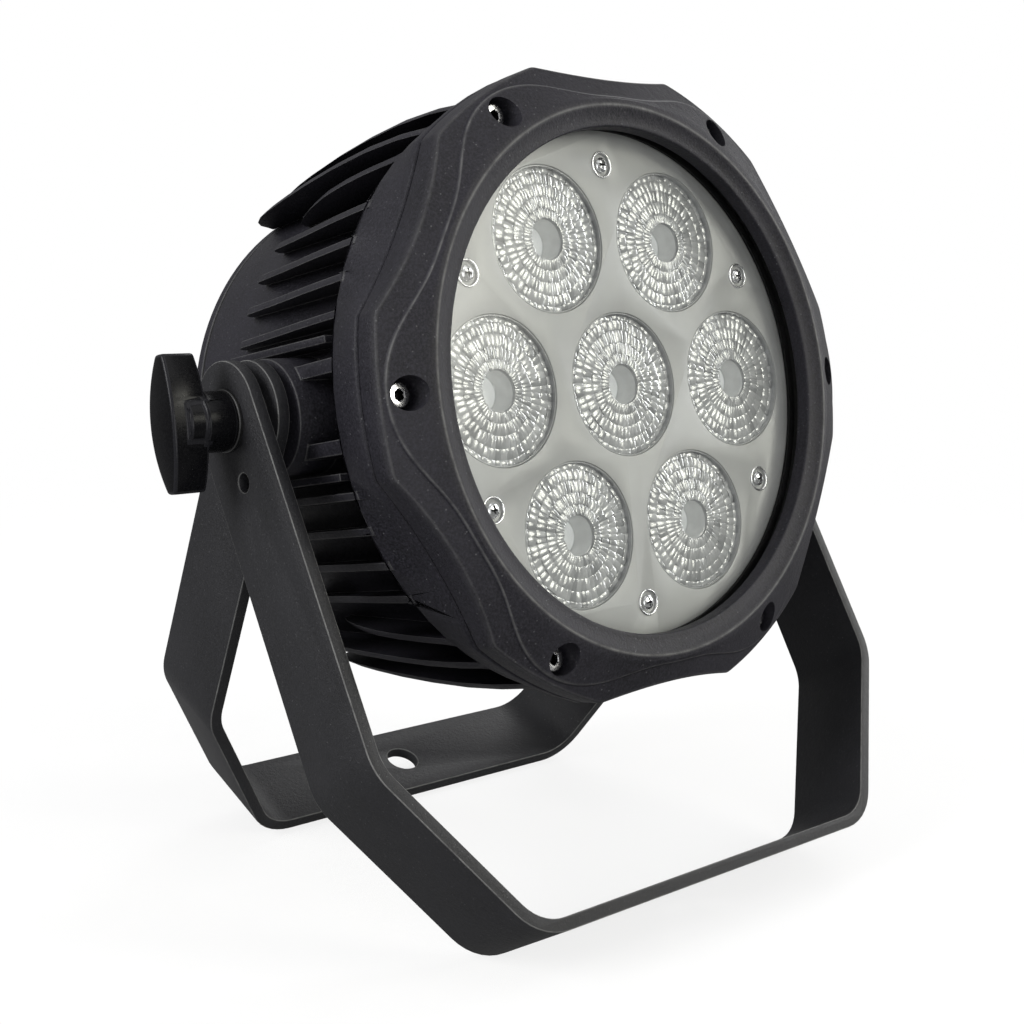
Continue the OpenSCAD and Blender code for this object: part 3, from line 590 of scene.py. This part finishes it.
def trim_ribs(bm):
    """Brings the rear corners of the ribs between the top fins down to the outermost fin's face."""
    places = [(corner, INTO_HEAD @ corner.co) for corner in bm.verts]
    ends = [(corner, place) for corner, place in places if abs(place.z - RIB_END_Z) < NEAR]
    for corner, place in ends:
        if abs(abs(place.y) - RIB_TOP_Y) > NEAR:
            continue
        below = [p for _, p in ends if abs(p.x - place.x) < NEAR and p.y * place.y > 0
                 and RIB_TOP_Y - RIB_REACH < abs(p.y) < RIB_TOP_Y - 2 * NEAR]
        if below:
            corner.co = HEAD @ max(below, key=lambda p: abs(p.y))


# ---------------------------------------------------------------- bezel

# The twelve-sided outline: six lobes with a screw each, and the bow of its short and long edges
LOBES = [60 * k for k in range(6)]
CORNER_R = 92.3
LOBE_HALF = math.radians(13.2)
LOBE_BOW = 2.0
LONG_BOW = 2.1
SOFT_MEET = 0.5

# The cross-section, from the opening to the outer edge
OPENING_R = 72.1
LIP_Z = -3.6
LIP_ROUND = 0.6
RIDGE_R = 78.5
RIDGE_Z = 2.4
FACE_SLOPE = 0.477
POCKET_R = 77.6
BEZEL_BACK_Z = -12.7
EDGE_ROUND = 0.8
REBATE = 1.4

# The wavy step: its mean radius, its swing, how its waves sharpen, its height and half its width
STEP_R = 84.6
STEP_SWING = 5.8
STEP_SHARPEN = 0.9
STEP_H = 0.8
STEP_HALF = 0.32

# The screw pockets
SCREW_RING_R = 85
SCREW_SEAT_Z = -9
SCREW_HOLE_R = 2.25
SCREW_POCKET_R = 4.5
POCKET_ROUND = 0.4


def bowed_edge(angle, half, bow):
    """Polar radius of one bowed edge of the twelve-sided outline, angle from its middle."""
    across = math.tan(angle) / math.tan(half)
    return (CORNER_R * math.cos(half) + bow * (1 - across * across)) / math.cos(angle)


def rim_radius(angle):
    """Outline of the bezel: short edges at the lobes, long hollow ones between, with soft corners."""
    from_lobe = (angle + math.radians(30)) % math.radians(60) - math.radians(30)
    lobe = bowed_edge(from_lobe, LOBE_HALF, LOBE_BOW)
    long_half = math.radians(30) - LOBE_HALF
    from_long = math.radians(30) - abs(from_lobe)
    flat = bowed_edge(from_long, long_half, -LONG_BOW) if from_long < 1.4 * long_half else 2 * CORNER_R
    meet = max(SOFT_MEET - abs(lobe - flat), 0) / SOFT_MEET
    return min(lobe, flat) - SOFT_MEET * meet * meet / 4


def plateau_radius(angle):
    """The wavy step in the bezel's face."""
    wave = math.cos(6 * angle)
    return STEP_R + STEP_SWING * wave + STEP_SHARPEN * wave ** 2 - STEP_SHARPEN * wave ** 3


def cone_z(r):
    return RIDGE_Z - (r - RIDGE_R) * FACE_SLOPE


def bezel_outline(angle):
    """Cross-section of the bezel ring at one angle, going round it once."""
    edge = rim_radius(angle)
    step = plateau_radius(angle)
    # The pocket for the glass, and the lip over it
    points = [(POCKET_R, BEZEL_BACK_Z), (POCKET_R, LIP_Z), (OPENING_R + 0.3, LIP_Z), (OPENING_R, LIP_Z + 0.3)]
    points += [(OPENING_R, -1.2)] + arc(OPENING_R + LIP_ROUND, 0.35, LIP_ROUND, 180, 100, 4)
    # The raised ring's hollow inner slope, then its crest
    for i in range(1, 9):
        t = i / 8
        points.append((OPENING_R + LIP_ROUND + 4.6 * t, 0.95 + 1.4 * t ** 1.7))
    for i in range(1, 7):
        t = i / 6
        points.append((OPENING_R + 5.2 + 2.0 * t, 2.35 + 0.32 * t * 1.2 - 0.52 * t * t))
    # The cone down to the wavy step
    first = OPENING_R + 7.5
    drop = cone_z(first) - points[-1][1] + 0.06
    for t in (0, 0.25, 0.5, 0.75, 0.95, 1):
        r = first + (step - STEP_HALF - first) * t
        points.append((r, cone_z(r) - drop * (1 - t) ** 2))
    for i in range(1, 7):
        t = i / 6
        r = step - STEP_HALF + 2 * STEP_HALF * t
        points.append((r, cone_z(r) - STEP_H * t * t * (3 - 2 * t)))
    # The lower face, its rounded outer corner, and a rebate at the back edge
    start = step + STEP_HALF
    end = max(edge - EDGE_ROUND, start + 0.1)
    for t in (0.1, 0.35, 0.65, 0.9, 1):
        r = start + (end - start) * t
        points.append((r, cone_z(r) - STEP_H))
    z_end = cone_z(end) - STEP_H
    for a in (30, 50, 70, 90):
        turn = math.radians(a)
        points.append((end + (edge - end) * math.sin(turn), z_end - EDGE_ROUND * (1 - math.cos(turn))))
    points += [(edge, z_end - 3), (edge, BEZEL_BACK_Z + 0.95), (edge - 0.15, BEZEL_BACK_Z + 0.7),
               (edge - REBATE, BEZEL_BACK_Z + 0.65), (edge - REBATE, BEZEL_BACK_Z)]
    return points


def marked_line(distance, half_width):
    """1 on a line, and less with the distance from it, down to 0 at half_width."""
    return max(0, 1 - abs(distance) / half_width)


def bezel_wear_and_highlight(r, angle, z):
    """How much the bezel's paint is marked lighter, as wear and a painted highlight: along the ridge, the wavy
    step's lip and the outer corner.
    """
    edge = rim_radius(angle)
    ridge = marked_line(r - RIDGE_R + 0.5, 0.5) if z > 0.5 else 0
    lip = marked_line(r - plateau_radius(angle) + 0.16, 0.24) if z > -6 else 0
    corner = marked_line(r - edge + 0.25, 0.4) if z > cone_z(edge) - STEP_H - 1.2 else 0
    return max(ridge, 0.8 * lip, 0.35 * corner)


def screw_pocket(_):
    """Outline of the hole and the pocket for one bezel screw, from behind the bezel to in front of it."""
    behind = BEZEL_BACK_Z - 2
    front = 6
    return [(0, behind), (SCREW_HOLE_R, behind), (SCREW_HOLE_R, SCREW_SEAT_Z),
            (SCREW_POCKET_R - POCKET_ROUND, SCREW_SEAT_Z), (SCREW_POCKET_R, SCREW_SEAT_Z + POCKET_ROUND),
            (SCREW_POCKET_R, front), (0, front)]


def make_bezel():
    piece = new_piece("bezel_shell", lathe(bezel_outline, 720, closed=True))
    for centre in ring_of(SCREW_RING_R, LOBES):
        cut(piece, new_piece("pocket", lathe(screw_pocket, 48, centre=centre)))
    # Lines painted lighter along the ridge, the step's lip and the outer corner: wear and a painted highlight
    edge_marks = []
    for corner in piece.data.vertices:
        x, y, z = INTO_HEAD @ corner.co
        edge_marks.append(bezel_wear_and_highlight(math.hypot(x, y), math.atan2(y, x), z))
    if "mark" in piece.data.attributes:
        piece.data.attributes.remove(piece.data.attributes["mark"])
    piece.data.attributes.new("mark", "FLOAT", "POINT").data.foreach_set("value", edge_marks)
    smooth(piece, 38)
    dress(piece, "front_bezel")


# ---------------------------------------------------------------- lenses

LENS_R = 20.8
LENS_RING_R = 48
LENS_FRONT_Z = -8.9
LENS_FOOT_Z = -28.2
WELL_Z = -17.4

# The facets: how many in each tier, each tier's inner and outer radius, and the rise of a facet along it
RIBS = 52
TIERS = [(5.9, 8.8), (8.8, 12.2), (12.2, 15.7), (15.7, 18.7), (18.7, 20.3)]
BEAD = [(0.0, -0.09), (0.08, -0.03), (0.25, 0.03), (0.5, 0.05), (0.75, 0.03), (0.92, -0.03), (1.0, -0.09)]

# How the lens falls outward, how a facet swells across, and how far each one leans and nods on its own
DOME = 0.075
PILLOW = 0.008
LEAN = 0.009
NOD = 0.28


def scatter(*keys):
    """A fixed number between -1 and 1 for each set of keys."""
    value = math.sin(sum(k * w for k, w in zip(keys, (12.9898, 78.233, 37.719)))) * 43758.5453
    return 2 * (value - math.floor(value)) - 1


def lens_outline(angle, which):
    """Front facets in tiers of pillowed ribs round a deep centre well; a plain cup behind."""
    turn = angle * RIBS / (2 * math.pi)
    rib = math.floor(turn + 0.5) % RIBS
    across = 2 * (turn + 0.5 - math.floor(turn + 0.5)) - 1
    # The third numbers mark the well: its floor painted paler and its wall darker, both made to glow, painted
    # light and shade
    points = [(0, WELL_Z, 1), (2.5, WELL_Z + 0.15, 1), (5.0, WELL_Z + 0.3, 1), (5.3, WELL_Z + 0.5, 0.2),
              (5.45, WELL_Z + 0.8, 0.5), (5.6, LENS_FRONT_Z - 1.3, 0.5), (5.7, LENS_FRONT_Z - 1.15, 0),
              (5.85, LENS_FRONT_Z - 1.1)]
    for tier, (r0, r1) in enumerate(TIERS):
        lean = LEAN * scatter(rib, tier, which) * across
        nod = NOD * scatter(rib, tier, which + 7)
        # Painted shade: about half the facets are marked below 0, to be painted darker
        shade = -max(0, scatter(rib, tier, which + 3))
        pillow = PILLOW * (1 - across * across)
        for t, rise in BEAD:
            r = r0 + (r1 - r0) * t
            fall = DOME * (r - TIERS[0][0])
            z = LENS_FRONT_Z - 0.25 - fall + rise + r * (pillow + lean) + nod * (t - 0.5)
            points.append((r, z, shade))
    # The lens's rim is marked like the well's wall: painted darker and glowing a little
    points += [(20.4, LENS_FRONT_Z - 0.1), (LENS_R - 0.25, LENS_FRONT_Z - 0.1, 0.2),
               (LENS_R, LENS_FRONT_Z - 0.5, 0.5), (LENS_R, -12), (19.3, -12), (18.2, -16), (15.4, -21),
               (11.4, -25.5), (7, LENS_FOOT_Z), (4.8, LENS_FOOT_Z), (4.2, -22), (2.4, -20.6), (0, -20.2)]
    return points


def make_lenses():
    places = [("lens_center", (0, 0))]
    for k, centre in enumerate(ring_of(LENS_RING_R, LOBES)):
        places.append((f"lens_{k + 1}", centre))
    for which, (node, centre) in enumerate(places):
        piece = new_piece(node + "_facets",
                          lathe(lambda angle: lens_outline(angle, which), RIBS * 8, centre=centre))
        smooth(piece, 13)
        dress(piece, node)


# ---------------------------------------------------------------- screws

# The bezel screws' heads
HEAD_R = 3.4
HEAD_H = 4
HEX_APOTHEM = 1.4

# The lens plate's face, its screws, and the pressed ring round each of them
PLATE_Z = -8.75
PLATE_SCREWS = [30 + 60 * k for k in range(6)]
PLATE_SCREW_RING_R = 63.5
PLATE_HEAD_R = 2.1
CROSS_REACH = 1.15
CROSS_HALF = 0.30
DIMPLE_R = 3.6
DIMPLE_LIP_R = 0.34


def heads(name, node, centres, outline, steps, closed=False):
    """The same turned shape at each centre, as one piece in the node's place."""
    whole = bmesh.new()
    scrap = bpy.data.meshes.new("scrap")
    for centre in centres:
        one = lathe(outline, steps, closed, centre)
        one.to_mesh(scrap)
        one.free()
        whole.from_mesh(scrap)
    bpy.data.meshes.remove(scrap)
    piece = new_piece(name, whole)
    smooth(piece, 35)
    dress(piece, node)


def hexagon(angle, apothem):
    """Polar radius of a hexagon."""
    return apothem / math.cos((angle + math.pi / 6) % (math.pi / 3) - math.pi / 6)


def cross(angle, reach, half_width):
    """Polar radius of a cross-shaped recess."""
    c, s = max(abs(math.cos(angle)), 1e-6), max(abs(math.sin(angle)), 1e-6)
    return max(min(reach / c, half_width / s), min(reach / s, half_width / c))


def socket_head(angle):
    """Half section of a bezel screw's head, with its hexagon socket."""
    socket = hexagon(angle, HEX_APOTHEM)
    top = SCREW_SEAT_Z + HEAD_H
    # The third numbers mark the socket, for painted shade inside it
    return [(0, top - 2.2, 1), (socket * 0.9, top - 2.2, 1), (socket, top - 2.0, 1),
            (socket, top - 0.25, 0.8), (socket + 0.05, top - 0.15), (socket + 0.22, top), (2.95, top),
            (3.2, top - 0.08), (3.34, top - 0.22), (HEAD_R, top - 0.45), (HEAD_R, SCREW_SEAT_Z + 0.1),
            (3.3, SCREW_SEAT_Z), (0, SCREW_SEAT_Z)]


def pan_head(angle):
    """Half section of a lens plate screw's head, with its cross recess."""
    slot = cross(angle, CROSS_REACH, CROSS_HALF)
    seat = PLATE_Z - 0.6
    dome = [(r, seat + 1.3 - 0.55 * (r / PLATE_HEAD_R) ** 2.4) for r in (1.3, 1.6, 1.8, 1.95, PLATE_HEAD_R)]
    # The third numbers mark the cross recess, for painted shade inside it
    return ([(0, seat + 0.25, 1), (slot * 0.45, seat + 0.35, 1), (slot * 0.92, seat + 1.1, 0.9),
             (slot, seat + 1.25), (min(slot + 0.05, 1.28), seat + 1.28)] + dome
            + [(2.2, seat + 0.55), (2.2, seat), (0, seat)])


def pressed_ring(_):
    """The bright lip that the plate's dimple has round each screw."""
    return [(DIMPLE_R + DIMPLE_LIP_R * math.cos(a), PLATE_Z + DIMPLE_LIP_R * math.sin(a))
            for a in (math.pi * k / 6 for k in range(12))]


def make_screws():
    plate_places = ring_of(PLATE_SCREW_RING_R, PLATE_SCREWS)
    heads("bezel_screw_heads", "bezel_screws", ring_of(SCREW_RING_R, LOBES), socket_head, 72)
    heads("plate_screw_heads", "lens_plate_screws", plate_places, pan_head, 96)
    heads("plate_screw_rings", "lens_plate_screws", plate_places, pressed_ring, 48, closed=True)


# ---------------------------------------------------------------- build

# Node, width of its rounded edges in millimetres, and how strongly they are marked (on the coats, wear and a
# painted highlight)
ROUNDED = (
    ("front_bracket", 0.27, 0.8), ("rear_bracket", 0.27, 0.8), ("rear_cover", 0.4, 0.5),
    ("lens_plate", 0.15, 0.0), ("rear_cover_screws", 0.15, 0.0),
    ("gland_nuts", 0.3, 1.0), ("gland_bodies", 0.3, 1.0), ("vent_plug", 0.3, 1.0),
    ("safety_loop", 0.5, 1.0), ("safety_loop_screws", 0.15, 0.0), ("display_window", 0.3, 0.0),
)

make_camera()
make_lights()
make_floor()

for node, piece in frame["nodes"].items():
    coat(piece, SLOT_OF[node])
    smooth(piece, 35)

make_bezel()
make_lenses()
make_screws()
for node, width, edge_mark in ROUNDED:
    refine(node, width, edge_mark=edge_mark)
refine("heatsink_body", 0.3, edge_mark=0.4, marked_below=FLANGE_Z - 1.5, before=trim_ribs)
for side in ("left", "right"):
    refine("knob_" + side, 0.8, 3, edge_mark=0.6)
    refine("knob_washer_" + side, 0.25)
    refine("outer_washer_" + side, 0.3)
    refine("inner_washer_" + side, 0.3)
for k in range(1, 5):
    refine(f"menu_button_{k}", 0.4, 3)
